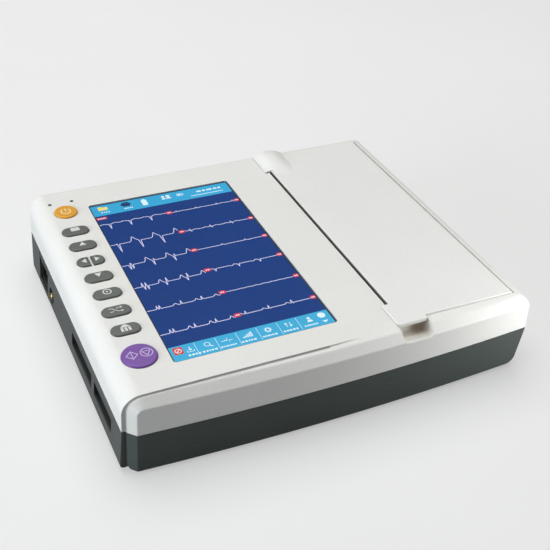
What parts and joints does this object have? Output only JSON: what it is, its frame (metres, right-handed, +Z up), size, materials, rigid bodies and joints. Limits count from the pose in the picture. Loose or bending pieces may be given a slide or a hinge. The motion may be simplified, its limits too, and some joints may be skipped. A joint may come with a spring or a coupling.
{
  "type": "ecg machine",
  "caption": "Desktop electrocardiograph with a flat touch screen, a column of keys and a wide chart printer under a lid hinged along its side.",
  "frame": {"origin": "on the desk surface, under the middle of the case's overall box", "axes": "+X towards the printer side, +Y towards the back, +Z up"},
  "size_m": [0.342, 0.2983, 0.074],
  "materials": {
    "aluminium": "extruded",
    "battery_wrap": "shrink wrap",
    "black_plastic": "moulded",
    "board_green": "solder mask",
    "brass": "turned",
    "bright_metal": "polished",
    "cable": "flat cable",
    "card": "wound card",
    "ceramic": "glazed",
    "component_black": "moulded",
    "display": "lit display",
    "gear_white": "acetal",
    "glass_clear": "polished",
    "housing_dark": "fine moulded texture",
    "key_grey": "soft touch",
    "key_orange": "satin",
    "key_purple": "satin",
    "lens_green": "moulded light pipe",
    "panel_grey": "fine moulded texture",
    "paper": "thermal chart paper",
    "rubber_black": "matte",
    "shell_white": "fine moulded texture",
    "steel": "brushed",
    "tray_grey": "moulded"
  },
  "bodies": {
    "console": {"base_tray": "housing_dark", "battery_cover": "housing_dark", "battery_pack": "battery_wrap", "case_screws": "steel", "connector_panel": "panel_grey", "drive_motor": "steel", "equipotential_stud": "bright_metal", "feet": "rubber_black", "head_beam": "steel", "head_pivot_rod": "steel", "head_springs": "steel", "idler_stud": "steel", "indicator_lenses": "lens_green", "internal_fasteners": "steel", "io_board": "board_green", "key_switches": "steel", "keypad_board": "board_green", "lcd_frame": "black_plastic", "lcd_panel": "display", "main_board": "board_green", "main_board_parts": "component_black", "mains_inlet": "black_plastic", "mains_pins": "bright_metal", "network_jack": "bright_metal", "paper_tray": "tray_grey", "patient_connector": "bright_metal", "patient_connector_insert": "black_plastic", "power_board": "board_green", "power_components": "component_black", "printer_chassis": "steel", "ribbon_cables": "cable", "speaker": "component_black", "tear_bar": "steel", "touch_glass": "glass_clear", "upper_shell": "shell_white", "usb_sockets": "bright_metal"},
    "key_arrows": {"key_arrows": "key_grey"},
    "key_card": {"key_card": "key_grey"},
    "key_down": {"key_down": "key_grey"},
    "key_home": {"key_home": "key_grey"},
    "key_left": {"key_left": "key_grey"},
    "key_power": {"key_power": "key_orange"},
    "key_right": {"key_right": "key_grey"},
    "key_select": {"key_select": "key_grey"},
    "key_start_stop": {"key_start_stop": "key_purple"},
    "key_up": {"key_up": "key_grey"},
    "lid": {"printer_lid": "shell_white", "lid_hinge_pins": "steel", "platen_bushings": "brass"},
    "platen": {"platen_roller": "rubber_black", "platen_shaft": "steel", "platen_gear": "gear_white"},
    "idler": {"idler_gear": "gear_white"},
    "motor_rotor": {"motor_pinion": "brass", "motor_shaft": "steel"},
    "print_head_unit": {"print_head": "ceramic", "print_head_heatsink": "aluminium"},
    "paper_supply": {"paper_roll": "paper", "paper_core": "card", "paper_spindle": "tray_grey"}
  },
  "joints": [
    {"name": "key_arrows_press", "type": "slide", "parent": "console", "child": "key_arrows", "axis": [0, 0, -1], "range_m": [0, 0.001], "stiffness_N_per_m": 250},
    {"name": "key_card_press", "type": "slide", "parent": "console", "child": "key_card", "axis": [0, 0, -1], "range_m": [0, 0.001], "stiffness_N_per_m": 250},
    {"name": "key_down_press", "type": "slide", "parent": "console", "child": "key_down", "axis": [0, 0, -1], "range_m": [0, 0.001], "stiffness_N_per_m": 250},
    {"name": "key_home_press", "type": "slide", "parent": "console", "child": "key_home", "axis": [0, 0, -1], "range_m": [0, 0.001], "stiffness_N_per_m": 250},
    {"name": "key_left_press", "type": "slide", "parent": "console", "child": "key_left", "axis": [0, 0, -1], "range_m": [0, 0.001], "stiffness_N_per_m": 250},
    {"name": "key_power_press", "type": "slide", "parent": "console", "child": "key_power", "axis": [0, 0, -1], "range_m": [0, 0.001], "stiffness_N_per_m": 250},
    {"name": "key_right_press", "type": "slide", "parent": "console", "child": "key_right", "axis": [0, 0, -1], "range_m": [0, 0.001], "stiffness_N_per_m": 250},
    {"name": "key_select_press", "type": "slide", "parent": "console", "child": "key_select", "axis": [0, 0, -1], "range_m": [0, 0.001], "stiffness_N_per_m": 250},
    {"name": "key_start_stop_press", "type": "slide", "parent": "console", "child": "key_start_stop", "axis": [0, 0, -1], "range_m": [0, 0.001], "stiffness_N_per_m": 250},
    {"name": "key_up_press", "type": "slide", "parent": "console", "child": "key_up", "axis": [0, 0, -1], "range_m": [0, 0.001], "stiffness_N_per_m": 250},
    {"name": "lid_hinge", "type": "hinge", "parent": "console", "child": "lid", "pos_m": [0.1573, 0, 0.0659], "axis": [0, 1, 0], "range_deg": [0, 95]},
    {"name": "platen_spin", "type": "hinge", "parent": "lid", "child": "platen", "pos_m": [0.0661, 0, 0.0575], "axis": [0, 1, 0], "continuous": true},
    {"name": "idler_spin", "type": "hinge", "parent": "console", "child": "idler", "pos_m": [0.0661, 0.127, 0.0275], "axis": [0, 1, 0], "continuous": true},
    {"name": "motor_spin", "type": "hinge", "parent": "console", "child": "motor_rotor", "pos_m": [0.0406, 0.127, 0.0275], "axis": [0, 1, 0], "continuous": true},
    {"name": "paper_spin", "type": "hinge", "parent": "console", "child": "paper_supply", "pos_m": [0.118, 0.0022, 0.039], "axis": [0, 1, 0], "continuous": true},
    {"name": "head_tilt", "type": "hinge", "parent": "console", "child": "print_head_unit", "pos_m": [0.06398, 0.0022, 0.04124], "axis": [0, -1, 0], "range_deg": [0, 2.5], "stiffness_Nm_per_rad": 2}
  ],
  "couplings": [
    {"joint": "idler_spin", "follows": "platen_spin", "ratio": -0.66667},
    {"joint": "motor_spin", "follows": "platen_spin", "ratio": 1.6},
    {"joint": "paper_spin", "follows": "platen_spin", "ratio": -0.34783}
  ]
}
